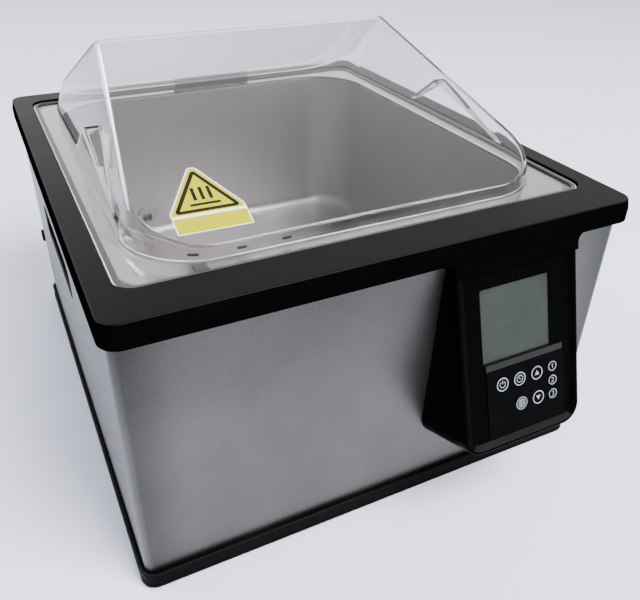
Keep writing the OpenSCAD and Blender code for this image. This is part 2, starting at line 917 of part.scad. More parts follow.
module hinge_pin() {
    color("#c8cacd") {
        hinge_rod(hinge_x - hinge_half - knuckle_l - 0.4, hinge_x + hinge_half + knuckle_l + 0.4, pin_r);
        hinge_rod(hinge_x + hinge_half + knuckle_l + 0.1, hinge_x + hinge_half + knuckle_l + 1.2, 1.8);
    }
}

// Side view of the gable; drop lowers it for the inside
module gable(drop = 0) {
    rise = ridge_z - drop;
    reach_front = ridge_y - lid_front + 10;
    reach_back = lid_back - ridge_y + 10;
    translate([-lid_w, 0, 0]) rotate([90, 0, 90]) linear_extrude(2 * lid_w)
        polygon([
            [ridge_y - reach_front, 150], [ridge_y - reach_front, rise - front_slope * reach_front],
            [ridge_y, rise], [ridge_y + reach_back, rise - back_slope * reach_back],
            [ridge_y + reach_back, 150]
        ]);
}

// Lip and leaning walls of the lid, inset for the inside
module lid_block(inset = 0, foot = lid_foot_z) {
    top = ridge_z + 2;
    lean = side_draft * (top - lip_top_z);
    r = lid_r - inset;
    w = lid_w - 2 * inset;
    d = lid_d - 2 * inset;
    slab(w, d, r, foot, lip_top_z + 0.1, lid_y);
    hull() {
        slab(w, d, r, lip_top_z, lip_top_z + 0.1, lid_y);
        slab(w - 2 * lean, d - 2 * lean, r - lean, top, top + 0.1, lid_y);
    }
}

// Three-cornered bulge on each side wall; inset hollows it
module side_bulges(inset = 0) {
    drop = 1.15 * inset;
    for (s = [-1, 1])
        translate([s > 0 ? 120 : -lid_w / 2 + inset, 0, -drop]) rotate([90, 0, 90])
            linear_extrude(lid_w / 2 - 120 - inset)
                polygon([[bulge_back, lip_top_z - 1], [bulge_front, lip_top_z - 1],
                    [bulge_front, lip_top_z], [bulge_peak_y, bulge_peak_z], [bulge_back, lip_top_z]]);
}

module lid() {
    color("#dfe6e8", 0.3) difference() {
        union() {
            intersection() {
                lid_block();
                gable();
            }
            side_bulges();
        }
        intersection() {
            lid_block(lid_t, lid_foot_z - 5);
            gable(lid_t * 1.1);
        }
        side_bulges(lid_t);
        for (i = [0 : 2])
            block([-121 + i * 28.6, lid_front - 2, lid_foot_z + 3.4],
                [-113 + i * 28.6, lid_front + 5, lid_foot_z + 4.6]);
    }
}

module hinge_leaf() {
    color("#cfd8da", 0.45) difference() {
        union() {
            hinge_rod(hinge_x - hinge_half + 0.4, hinge_x + hinge_half - 0.4, barrel_r);
            block([hinge_x - hinge_half + 0.4, lid_back, hinge_z - 0.6],
                [hinge_x + hinge_half - 0.4, hinge_y - 1, hinge_z + 1.2]);
            block([hinge_x - 38, lid_back, lid_foot_z + 1],
                [hinge_x + 38, lid_back + 1.6, lip_top_z + 2.4]);
        }
        hinge_rod(hinge_x - 60, hinge_x + 60, pin_r + pin_fit);
    }
}

// Blank three-cornered label on the front slope
module lid_label() {
    front_edge_z = ridge_z - front_slope * (ridge_y - lid_front);
    color("#f4ef2c") translate([label_x, lid_front, front_edge_z]) rotate([atan(front_slope), 0, 0])
        translate([0, label_up, 0.02]) linear_extrude(0.3)
            polygon([[-23.4, 0], [23.4, 0], [23.4, 18], [3.4, 55.5], [-3.4, 55.5], [-23.4, 18]]);
}

// ---------------------------------------------------------------- nodes

base_tray();
rubber_feet();
foot_screws();
outer_casing();
rear_panel();
rear_panel_screws();
top_bezel();
support_ledge();
bezel_screws();
rim_gasket();
tank();
tank_rim();
insulation_wrap();
insulation_board();
heater_pad();
temperature_probe();
overheat_cutout();
drain_fitting();
drain_hose();
valve_body();
drain_lever();
grip_cup_left();
grip_cup_right();
control_housing();
face_panel();
display_window();
display_sill();
lcd_module();
keypad_overlay();
control_board();
board_parts();
power_key();
timer_key();
up_key();
down_key();
menu_key();
program_1_key();
program_2_key();
program_3_key();
power_board();
power_parts();
board_spacers();
control_cable();
heater_leads();
mains_leads();
inlet_socket();
inlet_screws();
inlet_pins();
fuse_drawer();
switch_frame();
rocker();
reset_bushing();
reset_button();
lid_frame();
hinge_bracket();
hinge_pin();
lid();
hinge_leaf();
lid_label();
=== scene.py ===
import json
import math

import bmesh
import bpy
from mathutils import Matrix, Vector


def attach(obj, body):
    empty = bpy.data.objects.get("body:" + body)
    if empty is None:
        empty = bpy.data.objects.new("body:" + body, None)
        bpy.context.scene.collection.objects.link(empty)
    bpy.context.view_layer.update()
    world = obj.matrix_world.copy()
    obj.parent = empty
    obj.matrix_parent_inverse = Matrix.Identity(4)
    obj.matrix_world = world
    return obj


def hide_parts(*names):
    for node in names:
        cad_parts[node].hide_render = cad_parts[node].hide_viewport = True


MM = 0.001
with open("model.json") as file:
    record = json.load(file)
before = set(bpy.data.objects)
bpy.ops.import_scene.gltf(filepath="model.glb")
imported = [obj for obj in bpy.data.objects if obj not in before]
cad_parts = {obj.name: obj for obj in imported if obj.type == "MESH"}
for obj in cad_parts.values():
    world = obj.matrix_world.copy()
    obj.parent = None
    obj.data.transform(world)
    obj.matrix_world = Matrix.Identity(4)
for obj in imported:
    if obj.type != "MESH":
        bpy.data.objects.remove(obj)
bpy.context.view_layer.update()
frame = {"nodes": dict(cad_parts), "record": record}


# ---------------------------------------------------------------- materials

# Part of the noise's range that runs from a finish's dark colour to its light one
NOISE_SPAN = (0.3, 0.7)


def node(tree, kind, **values):
    """Adds a shader node; names of inputs are given with _ for a space."""
    n = tree.nodes.new(kind)
    for key, value in values.items():
        if hasattr(n, key):
            setattr(n, key, value)
        else:
            n.inputs[key.replace("_", " ")].default_value = value
    return n


def map_range(tree, low, high, to_low=0.0, to_high=1.0):
    n = node(tree, "ShaderNodeMapRange")
    ends = (("From Min", low), ("From Max", high), ("To Min", to_low), ("To Max", to_high))
    for key, value in ends:
        n.inputs[key].default_value = value
    return n


def surface(
    name,
    dark,
    light,
    rough=(0.4, 0.5),
    metallic=0.0,
    grain=900.0,
    mottle=25.0,
    bump=0.15,
    depth=0.00004,
    stretch=(1, 1, 1),
    patch=0.5,
    **shader,
):
    """A procedural finish: fine grain and broad patches in its colour, roughness and relief."""
    material = bpy.data.materials.new(name)
    material.use_nodes = True
    tree = material.node_tree
    tree.nodes.clear()
    link = tree.links.new
    out = node(tree, "ShaderNodeOutputMaterial")
    bsdf = node(tree, "ShaderNodeBsdfPrincipled")
    bsdf.inputs["Metallic"].default_value = metallic
    for key, value in shader.items():
        bsdf.inputs[key.replace("_", " ")].default_value = value
    place = node(tree, "ShaderNodeTexCoord")
    scaled = node(tree, "ShaderNodeMapping", Scale=stretch)
    link(place.outputs["Object"], scaled.inputs["Vector"])
    fine = node(tree, "ShaderNodeTexNoise", Scale=grain, Detail=3.0, Roughness=0.6)
    broad = node(tree, "ShaderNodeTexNoise", Scale=mottle, Detail=4.0, Roughness=0.55)
    link(scaled.outputs["Vector"], fine.inputs["Vector"])
    link(place.outputs["Object"], broad.inputs["Vector"])
    mixed = node(tree, "ShaderNodeMix", data_type="FLOAT", Factor=patch)
    link(fine.outputs["Fac"], mixed.inputs[2])
    link(broad.outputs["Fac"], mixed.inputs[3])
    ramp = node(tree, "ShaderNodeValToRGB")
    for stop, at, colour in zip(ramp.color_ramp.elements, NOISE_SPAN, (dark, light)):
        stop.position = at
        stop.color = (*colour, 1)
    link(mixed.outputs[0], ramp.inputs["Fac"])
    link(ramp.outputs["Color"], bsdf.inputs["Base Color"])
    spread = map_range(tree, *NOISE_SPAN, *rough)
    link(mixed.outputs[0], spread.inputs["Value"])
    link(spread.outputs["Result"], bsdf.inputs["Roughness"])
    relief = node(tree, "ShaderNodeBump", Strength=bump, Distance=depth)
    link(fine.outputs["Fac"], relief.inputs["Height"])
    link(relief.outputs["Normal"], bsdf.inputs["Normal"])
    link(bsdf.outputs["BSDF"], out.inputs["Surface"])
    return material


def painted_shade_band(material, axis, near, far, stops):
    """Paints shade into a finish along one axis, either way from the middle, between two distances.
    """
    tree = material.node_tree
    link = tree.links.new
    bsdf = next(n for n in tree.nodes if n.type == "BSDF_PRINCIPLED")
    colour = bsdf.inputs["Base Color"].links[0].from_socket
    place = node(tree, "ShaderNodeTexCoord")
    split = node(tree, "ShaderNodeSeparateXYZ")
    across = node(tree, "ShaderNodeMath", operation="ABSOLUTE")
    band = map_range(tree, near, far)
    band.interpolation_type = "SMOOTHSTEP"
    tone = node(tree, "ShaderNodeValToRGB")
    tone.color_ramp.elements.remove(tone.color_ramp.elements[1])
    for k, (at, grey) in enumerate(stops):
        stop = tone.color_ramp.elements.new(at) if k else tone.color_ramp.elements[0]
        stop.position = at
        stop.color = (grey, grey, grey, 1)
    mix = node(tree, "ShaderNodeMix", data_type="RGBA", blend_type="MULTIPLY")
    mix.inputs[0].default_value = 1.0
    link(place.outputs["Object"], split.inputs["Vector"])
    link(split.outputs[axis], across.inputs[0])
    link(across.outputs["Value"], band.inputs["Value"])
    link(band.outputs["Result"], tone.inputs["Fac"])
    link(colour, mix.inputs[6])
    link(tone.outputs["Color"], mix.inputs[7])
    link(mix.outputs[2], bsdf.inputs["Base Color"])


PLASTIC = dict(grain=1400.0, mottle=30.0, bump=0.2, depth=0.00003)
BLACK = dict(PLASTIC, Specular_IOR_Level=0.015)
finish = {
    "bezel_plastic": surface(
        "bezel_black", (0.0016, 0.0016, 0.0016), (0.0028, 0.0028, 0.0028), (0.34, 0.44),
        **PLASTIC, Specular_IOR_Level=0.05,
    ),
    "tray_plastic": surface(
        "tray_black", (0.0010, 0.0010, 0.0010), (0.0020, 0.0020, 0.0020), (0.38, 0.48), **BLACK
    ),
    "housing_plastic": surface(
        "housing_black", (0.0003, 0.0003, 0.0003), (0.0008, 0.0008, 0.0008), (0.26, 0.34), **BLACK
    ),
    "face_plastic": surface(
        "face_black", (0.0006, 0.0006, 0.0006), (0.0013, 0.0013, 0.0013), (0.30, 0.40),
        **PLASTIC, Specular_IOR_Level=0.005,
    ),
    "grip_plastic": surface(
        "grip_black", (0.0020, 0.0020, 0.0020), (0.0040, 0.0040, 0.0040), (0.45, 0.55), **BLACK
    ),
    "foot_rubber": surface(
        "foot_rubber", (0.004, 0.004, 0.004), (0.008, 0.008, 0.008), (0.75, 0.90), grain=2200.0,
        bump=0.4, depth=0.00005, Specular_IOR_Level=0.1
    ),
    "case_metal": surface(
        "case_metal", (0.072, 0.0695, 0.0655), (0.140, 0.135, 0.127), (0.34, 0.46), metallic=1.0,
        grain=800.0, mottle=11.0, bump=0.5
    ),
    "rear_metal": surface(
        "rear_painted", (0.008, 0.008, 0.0085), (0.014, 0.014, 0.015), (0.45, 0.60), grain=1800.0,
        bump=0.35, depth=0.00004, Specular_IOR_Level=0.15
    ),
    "tank_steel": surface(
        "tank_steel", (0.36, 0.345, 0.345), (0.46, 0.44, 0.44), (0.38, 0.48), metallic=1.0,
        grain=700.0, mottle=7.0, stretch=(1, 1, 0.04), bump=0.06, depth=0.00002
    ),
    "rim_steel": surface(
        "rim_steel", (0.34, 0.335, 0.32), (0.42, 0.415, 0.40), (0.42, 0.52), metallic=0.85,
        grain=1500.0, mottle=12.0, bump=0.1, depth=0.00002
    ),
    "screw_steel": surface(
        "screw_steel", (0.50, 0.50, 0.52), (0.66, 0.66, 0.68), (0.22, 0.32), metallic=1.0,
        grain=3000.0, bump=0.1,
    ),
    "probe_steel": surface(
        "fitting_steel", (0.24, 0.24, 0.245), (0.32, 0.32, 0.325), (0.30, 0.40), metallic=1.0,
        grain=2000.0, bump=0.1
    ),
    "gasket_silicone": surface(
        "gasket", (0.52, 0.52, 0.50), (0.62, 0.62, 0.60), (0.55, 0.7), grain=1500.0, bump=0.2,
    ),
    "insulation": surface(
        "insulation", (0.55, 0.50, 0.38), (0.80, 0.76, 0.62), (0.9, 1.0), grain=500.0,
        stretch=(1, 1, 6), bump=0.8, depth=0.0006,
    ),
    "heater_silicone": surface(
        "heater_pad", (0.38, 0.07, 0.03), (0.50, 0.10, 0.05), (0.6, 0.75), grain=1200.0, bump=0.3,
    ),
    "part_plastic": surface(
        "part_black", (0.006, 0.006, 0.007), (0.012, 0.012, 0.013), (0.40, 0.55), **BLACK
    ),
    "board_parts": surface(
        "board_parts", (0.02, 0.02, 0.025), (0.10, 0.10, 0.11), (0.35, 0.55), grain=250.0,
        bump=0.1,
    ),
    "board_green": surface(
        "board_green", (0.008, 0.06, 0.025), (0.02, 0.13, 0.055), (0.3, 0.45), grain=350.0,
        bump=0.2, depth=0.00003,
    ),
    "spacer_nylon": surface(
        "spacer_nylon", (0.65, 0.65, 0.62), (0.75, 0.75, 0.72), (0.45, 0.55), **PLASTIC
    ),
    "cable_grey": surface(
        "cable_grey", (0.14, 0.15, 0.16), (0.22, 0.23, 0.25), (0.5, 0.6), **PLASTIC
    ),
    "cable_red": surface(
        "cable_red", (0.32, 0.02, 0.015), (0.46, 0.04, 0.03), (0.5, 0.6), **PLASTIC
    ),
    "hose_silicone": surface(
        "hose", (0.60, 0.60, 0.56), (0.72, 0.72, 0.68), (0.4, 0.55), **PLASTIC
    ),
    "valve_brass": surface(
        "valve_brass", (0.52, 0.35, 0.13), (0.70, 0.50, 0.22), (0.25, 0.4), metallic=1.0,
        grain=1600.0, bump=0.15,
    ),
    "contact_brass": surface(
        "contact_brass", (0.60, 0.46, 0.20), (0.78, 0.62, 0.30), (0.2, 0.3), metallic=1.0,
        grain=1600.0, bump=0.1,
    ),
    "lever_plastic": surface(
        "lever_black", (0.0015, 0.0015, 0.0016), (0.0030, 0.0030, 0.0032), (0.30, 0.42), **BLACK
    ),
    "inlet_plastic": surface(
        "inlet_black", (0.0025, 0.0025, 0.0026), (0.0045, 0.0045, 0.0048), (0.35, 0.48), **BLACK
    ),
    "rocker_plastic": surface(
        "rocker_black", (0.0020, 0.0020, 0.0021), (0.0035, 0.0035, 0.0037), (0.18, 0.26), **BLACK
    ),
    "bushing_metal": surface(
        "bushing", (0.55, 0.56, 0.58), (0.70, 0.71, 0.73), (0.15, 0.25), metallic=1.0,
        grain=2000.0, bump=0.08,
    ),
    "button_red": surface(
        "button_red", (0.42, 0.015, 0.012), (0.56, 0.03, 0.02), (0.2, 0.3), **PLASTIC
    ),
    "overlay_film": surface(
        "overlay_film", (0.0006, 0.0006, 0.0007), (0.0018, 0.0018, 0.0020), (0.42, 0.54),
        grain=2600.0, mottle=60.0, bump=0.5, depth=0.00004, Specular_IOR_Level=0.01,
    ),
    "key_film": surface(
        "key_film", (0.0006, 0.0006, 0.0007), (0.0018, 0.0018, 0.0020), (0.40, 0.50),
        grain=2600.0, mottle=60.0, bump=0.4, depth=0.00003, Specular_IOR_Level=0.01,
    ),
    "sill_grey": surface(
        "sill_grey", (0.007, 0.007, 0.0072), (0.014, 0.014, 0.0145), (0.30, 0.42),
        **PLASTIC, Specular_IOR_Level=0.1,
    ),
    "lcd": surface(
        "lcd_grey_green", (0.025, 0.031, 0.025), (0.036, 0.043, 0.035), (0.35, 0.42), grain=1800.0,
        mottle=18.0, bump=0.0, patch=0.8, Specular_IOR_Level=0.1
    ),
    "window_clear": surface(
        "window_clear", (0.026, 0.032, 0.026), (0.036, 0.043, 0.035), (0.30, 0.40), grain=900.0,
        bump=0.0, Alpha=0.06, Specular_IOR_Level=0.04
    ),
    "clear_polycarbonate": surface(
        "clear_lid", (0.955, 0.965, 0.965), (0.985, 0.99, 0.99), (0.01, 0.045), grain=160.0,
        mottle=14.0, bump=0.03, depth=0.00006, Transmission_Weight=1.0, IOR=1.5,
    ),
    "hinge_clear": surface(
        "clear_hinge", (0.36, 0.37, 0.38), (0.46, 0.47, 0.48), (0.10, 0.18), grain=400.0,
        bump=0.05, depth=0.00004, Transmission_Weight=0.75, IOR=1.5
    ),
    "label_film": surface(
        "label_white", (0.82, 0.83, 0.80), (0.88, 0.89, 0.86), (0.35, 0.45), grain=1200.0,
        bump=0.05, depth=0.00001,
    ),
}
# Painted light on the casing: a painted dark reflection along its upright bends, and painted shade
# toward its top edge, under the bezel's skirt
painted_shade_band(finish["case_metal"], "X", 0.140, 0.178, [(0.0, 1.0), (0.95, 0.55), (1.0, 1.0)])
painted_shade_band(finish["case_metal"], "Z", 0.060, 0.200, [(0.0, 1.0), (0.5, 0.92), (1.0, 0.66)])

# Finishes that are no CAD slot: painted shade and painted highlights for some of a piece's faces,
# and finishes for the label and for the print
# Darker copy of the bezel's black without sheen, for its sides: painted shade
bezel_side_painted_shade = surface(
    "bezel_side_painted_shade", (0.0008, 0.0008, 0.0008), (0.0014, 0.0014, 0.0014), (0.34, 0.44),
    **PLASTIC, Specular_IOR_Level=0.0,
)
# Lighter, glossier black for faces that look up: a painted highlight
painted_highlight = surface(
    "painted_highlight", (0.0060, 0.0060, 0.0060), (0.0095, 0.0095, 0.0095), (0.26, 0.34),
    **PLASTIC, Specular_IOR_Level=0.03,
)
label_yellow = surface(
    "label_yellow", (0.38, 0.36, 0.0), (0.42, 0.40, 0.0), (0.5, 0.6), grain=1500.0, bump=0.0,
    Specular_IOR_Level=0.05,
)
label_black = surface(
    "label_black", (0.006, 0.006, 0.004), (0.010, 0.010, 0.007), (0.5, 0.6), grain=1500.0,
    bump=0.0, Specular_IOR_Level=0.1,
)
# Dark opaque finish for the inner faces of the lid's slots: painted shade
slot_painted_shade = surface(
    "slot_painted_shade", (0.01, 0.01, 0.01), (0.02, 0.02, 0.02), (0.6, 0.7), bump=0.0
)
curb_clear = surface(
    "clear_curb", (0.07, 0.07, 0.07), (0.10, 0.10, 0.10), (0.3, 0.4), grain=400.0, mottle=14.0,
    bump=0.03, depth=0.00004, Transmission_Weight=0.8, IOR=1.5,
)
# Light, half-clear grey for the rounded edges of the lid's bulges: a painted highlight
bulge_edge_painted_highlight = surface(
    "clear_edge_painted_highlight", (0.55, 0.56, 0.57), (0.65, 0.66, 0.67), (0.2, 0.3), grain=400.0, bump=0.0,
    Transmission_Weight=0.5, IOR=1.5,
)
# Light opaque grey along the outside of the clear ring's raised edge: a painted highlight
curb_painted_highlight = surface(
    "bright_curb_painted_highlight", (0.62, 0.63, 0.64), (0.72, 0.73, 0.74), (0.2, 0.3), grain=400.0, bump=0.0
)
print_grey = surface(
    "print_grey", (0.21, 0.225, 0.25), (0.27, 0.29, 0.32), (0.5, 0.6), grain=2000.0, bump=0.0,
    Specular_IOR_Level=0.1,
)
print_disc = surface(
    "print_disc", (0.036, 0.044, 0.058), (0.052, 0.062, 0.080), (0.5, 0.6), grain=2000.0, bump=0.0,
    Specular_IOR_Level=0.1,
)

slot_of = {s["node"]: s["material_slot"] for s in frame["record"]["subparts"]}
body_of = {n: b for b, ns in frame["record"]["behaviour"]["bodies"].items() for n in ns}


# ---------------------------------------------------------------- mesh helpers


def shade(piece):
    """Smooth shading that keeps the sharp edges and favours the large faces."""
    piece.data.shade_smooth()
    piece.data.set_sharp_from_angle(angle=math.radians(32))
    normals = piece.modifiers.new("even_shading", "WEIGHTED_NORMAL")
    normals.keep_sharp = True
    normals.weight = 80


def link_mesh(name, bm, material, body, replaced=()):
    """Turns a bmesh in metres into a piece that rides on a body."""
    bmesh.ops.remove_doubles(bm, verts=bm.verts, dist=2e-7)
    bmesh.ops.dissolve_degenerate(bm, edges=bm.edges, dist=1e-7)
    bmesh.ops.recalc_face_normals(bm, faces=bm.faces)
    mesh = bpy.data.meshes.new(name)
    bm.to_mesh(mesh)
    bm.free()
    mesh.materials.append(material)
    piece = bpy.data.objects.new(name, mesh)
    bpy.context.scene.collection.objects.link(piece)
    shade(piece)
    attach(piece, body)
    if replaced:
        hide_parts(*replaced)
    return piece


def clean_copy(name):
    """The CAD node's surface as a welded bmesh with its flat faces joined."""
    mesh = frame["nodes"][name].data
    bm = bmesh.new()
    corners = [bm.verts.new(v.co) for v in mesh.vertices]
    for p in mesh.polygons:
        try:
            bm.faces.new([corners[i] for i in p.vertices])
        except ValueError:
            pass
    bmesh.ops.remove_doubles(bm, verts=bm.verts, dist=3e-6)
    bmesh.ops.dissolve_degenerate(bm, edges=bm.edges, dist=1e-6)
    bmesh.ops.dissolve_limit(
        bm, angle_limit=math.radians(0.7), verts=bm.verts, edges=bm.edges, delimit={"NORMAL"}
    )
    return bm


def round_edges(bm, radius, segments, where=None):
    """Rounds the sharp edges whose middle (in millimetres) passes the test."""
    edges = []
    for e in bm.edges:
        if len(e.link_faces) == 2 and e.calc_face_angle(0) > math.radians(30):
            middle = (e.verts[0].co + e.verts[1].co) / 2 / MM
            if where is None or where(middle):
                edges.append(e)
    if edges:
        bmesh.ops.bevel(
            bm, geom=edges, offset=radius * MM, segments=segments, profile=0.5, affect="EDGES",
            clamp_overlap=True,
        )


def refine(name, radius, segments, first=()):
    """Stands for a CAD node with its edges rounded; first lists larger roundings."""
    bm = clean_copy(name)
    for where, r, n in first:
        round_edges(bm, r, n, where)
    round_edges(bm, radius, segments)
    slot = slot_of[name]
    return link_mesh(name + "_detail", bm, finish[slot], body_of[name], [name])


def loft(bm, rings, closed=False):
    """Skin through rings of points in millimetres, capped at both ends unless closed."""
    made = [[bm.verts.new(Vector(p) * MM) for p in ring] for ring in rings]
    pairs = list(zip(made, made[1:]))
    if closed:
        pairs.append((made[-1], made[0]))
    for a, b in pairs:
        for i in range(len(a)):
            j = (i + 1) % len(a)
            bm.faces.new((a[i], a[j], b[j], b[i]))
    if not closed:
        bm.faces.new(list(reversed(made[0])))
        bm.faces.new(made[-1])


def rounded(half_x, half_y, r, middle_y, z, n=12):
    """Ring of a rectangle with round corners at one height."""
    ring = []
    for x, y, start in (
        (half_x - r, middle_y + half_y - r, 0),
        (-half_x + r, middle_y + half_y - r, 90),
        (-half_x + r, middle_y - half_y + r, 180),
        (half_x - r, middle_y - half_y + r, 270),
    ):
        for k in range(n + 1):
            a = math.radians(start + 90 * k / n)
            ring.append((x + r * math.cos(a), y + r * math.sin(a), z))
    return ring


def cut(piece, bm):
    """Takes the solid in bm away from the piece."""
    mesh = bpy.data.meshes.new("cutter")
    bmesh.ops.recalc_face_normals(bm, faces=bm.faces)
    bm.to_mesh(mesh)
    bm.free()
    cutter = bpy.data.objects.new("cutter", mesh)
    bpy.context.scene.collection.objects.link(cutter)
    material = piece.data.materials[0]
    piece.modifiers.clear()
    boolean = piece.modifiers.new("cut", "BOOLEAN")
    boolean.operation = "DIFFERENCE"
    boolean.solver = "EXACT"
    boolean.object = cutter
    bpy.context.view_layer.update()
    result = bpy.data.meshes.new_from_object(
        piece.evaluated_get(bpy.context.evaluated_depsgraph_get())
    )
    piece.modifiers.clear()
    piece.data = result
    result.materials.clear()
    result.materials.append(material)
    bpy.data.objects.remove(cutter)
    shade(piece)


def second_finish(piece, material, where):
    """Gives another finish to the faces whose middle (in millimetres) passes the test."""
    mesh = piece.data
    mesh.materials.append(material)
    for p in mesh.polygons:
        if where(p.center / MM, p.normal):
            p.material_index = len(mesh.materials) - 1


def box_bm(lo, hi):
    """Box between two corners in millimetres."""
    bm = bmesh.new()
    size = Vector(hi) - Vector(lo)
    middle = (Vector(hi) + Vector(lo)) / 2
    bmesh.ops.create_cube(
        bm, size=1, matrix=Matrix.Translation(middle * MM) @ Matrix.Diagonal((*(size * MM), 1))
    )
    return bm


# ---------------------------------------------------------------- lid

# Half width, half depth and corner radius of the lid's plan, and where its middle is in Y
LID_X, LID_Y, LID_R, LID_MIDDLE = 150.0, 164.25, 50.0, 4.25
# Heights of the foot and the lip's top, and how far the wall leans in per millimetre of height
FOOT, LIP, DRAFT = 213.4, 224.0, 0.4
# Place and height of the ridge, slopes before and behind it, half width of its soft curve
RIDGE_Y, RIDGE_Z, FRONT, BACK, BLEND = 45.5, 296.0, 0.355, 0.6, 4.0
# Side bulge: front end, peak and back end in Y, and the height of the peak
BULGE = (-102.0, -22.0, 27.0, 254.5)
# Rows of points along the straight sides, close together round the bulge's peak
SIDE_ROWS = [-102, -95, -80, -60, -40, -28, -24, -22, -20, -16, -5, 10, 20, 27, 33]
# Thickness of the sheet, how far the roof's edge runs in, and steps in a rounded corner
SHEET, REACH, STEPS = 2.5, 5.0, 4
# Slots in the front lip: middles in X, half width, and heights over the foot
SLOTS, SLOT_HALF, SLOT_LOW, SLOT_HIGH = (-117.0, -88.4, -59.8), 2.8, 3.5, 4.5


def roof(y, drop):
    """Height of the two slopes with a soft ridge."""
    t = y - RIDGE_Y
    top = RIDGE_Z - drop
    if t <= -BLEND:
        return top + FRONT * t
    if t >= BLEND:
        return top - BACK * t
    u = t + BLEND
    return top - FRONT * BLEND + FRONT * u - (FRONT + BACK) * u * u / (4 * BLEND)


def bulge(y, drop):
    """Height of the side wall's upright part, which rises to a peak on each side."""
    front, peak, back, top = BULGE
    if front < y < peak:
        z = LIP + (top - LIP) * (y - front) / (peak - front)
    elif peak <= y < back:
        z = LIP + (top - LIP) * (back - y) / (back - peak)
    else:
        z = LIP
    return max(LIP, z - drop)


def soften(a, b, c, reach):
    """Rounded corner at b between a and c."""
    a, b, c = Vector(a), Vector(b), Vector(c)
    la, lc = (a - b).length, (c - b).length
    if la < 1e-6 or lc < 1e-6:
        return [tuple(b)] * (STEPS + 1)
    r = min(reach, 0.46 * la, 0.46 * lc)
    start, end = b + (a - b) / la * r, b + (c - b) / lc * r
    points = []
    for k in range(STEPS + 1):
        t = k / STEPS
        points.append(tuple(start * (1 - t) ** 2 + b * 2 * t * (1 - t) + end * t * t))
    return points


def cubic(points, n):
    """Points along the cubic curve steered by four points."""
    a, b, c, d = (Vector(p) for p in points)
    out = []
    for k in range(n):
        t = k / (n - 1)
        u = 1 - t
        out.append(a * u ** 3 + b * 3 * u * u * t + c * 3 * u * t * t + d * t ** 3)
    return out


def lid_column(x, y, nx, ny, inset):
    """Outline of the lid's wall at one place of its plan, from the foot to the roof."""
    drop = 1.1 * inset

    def top(s):
        return roof(y - ny * s, drop)

    foot = (inset, FOOT)
    if top(inset) <= LIP:
        first = before = joint = (inset, top(inset))
    else:
        low, high = inset, 70.0
        for _ in range(50):
            s = (low + high) / 2
            if LIP + (s - inset) / DRAFT < top(s):
                low = s
            else:
                high = s
        joint = (low, top(low))
        shoulder_z = min(bulge(y, 1.15 * inset) if abs(nx) > 0.999 else LIP, joint[1])
        first = (inset, shoulder_z)
        before = (inset + DRAFT * (shoulder_z - LIP), shoulder_z)
    last = (joint[0] + REACH, top(joint[0] + REACH))
    if before == first:
        bend = soften(foot, first, joint, 2.5)
        bend += [bend[-1]] * (STEPS + 1)
    else:
        bend = soften(foot, first, before, 1.6) + soften(first, before, joint, 1.2)
    bend += soften(before, joint, last, 1.8)
    # close to the front and the back the shoulder and the roof's edge run into one curve
    roof_way = (Vector(last) - Vector(joint)).normalized()
    start = Vector(first) - Vector((0, 2.2))
    curve = cubic((start, first, joint, Vector(joint) + roof_way * 2.2), len(bend))
    share = min(1.0, (Vector(joint) - Vector(first)).length / 7)
    share = share * share * (3 - 2 * share)
    path = [foot] + [c.lerp(Vector(p), share) for c, p in zip(curve, bend)] + [last]
    return [(x - nx * s, y - ny * s, z) for s, z in path]


def lid_places():
    """Right half of the lid's plan, from the middle of the front to the middle of the back."""
    front_y, back_y = LID_MIDDLE - LID_Y, LID_MIDDLE + LID_Y

    def corner(middle_y, start):
        turns = [math.radians(start + 5 * k) for k in range(19)]
        return [
            (
                LID_X - LID_R + LID_R * math.cos(a), middle_y + LID_R * math.sin(a),
                math.cos(a), math.sin(a),
            )
            for a in turns
        ]

    ridge = [RIDGE_Y + BLEND * (k / 4 - 1) for k in range(9)]
    return (
        [(x, front_y, 0, -1) for x in (0, 30, 60, 85)]
        + corner(front_y + LID_R, -90)
        + [(LID_X, y, 1, 0) for y in SIDE_ROWS + ridge + [60, 80, 100]]
        + corner(back_y - LID_R, 0)
        + [(x, back_y, 0, 1) for x in (85, 60, 30, 0)]
    )


def lid_skin(bm, inset):
    """One side of the lid's sheet; returns its foot loop."""
    places = lid_places()
    half = [lid_column(*p, inset) for p in places]
    mirrored = [[(-x, y, z) for x, y, z in c] for c in half[-2:0:-1]]
    columns = [[bm.verts.new(Vector(p) * MM) for p in c] for c in half + mirrored]
    total = len(columns)
    for i, a in enumerate(columns):
        b = columns[(i + 1) % total]
        for k in range(len(a) - 1):
            bm.faces.new((a[k], b[k], b[k + 1], a[k + 1]))
    tops = [c[-1] for c in columns]
    ridge = [i for i, p in enumerate(places) if p[2] == 1 and abs(p[1] - RIDGE_Y) <= BLEND + 1e-6]
    first, last = ridge[0], ridge[-1]
    bm.faces.new([tops[i % total] for i in range(total - first, total + first + 1)])
    bm.faces.new(tops[last : total - last + 1])
    for i in range(first, last):
        bm.faces.new((tops[i], tops[i + 1], tops[total - i - 1], tops[total - i]))
    return [c[0] for c in columns]


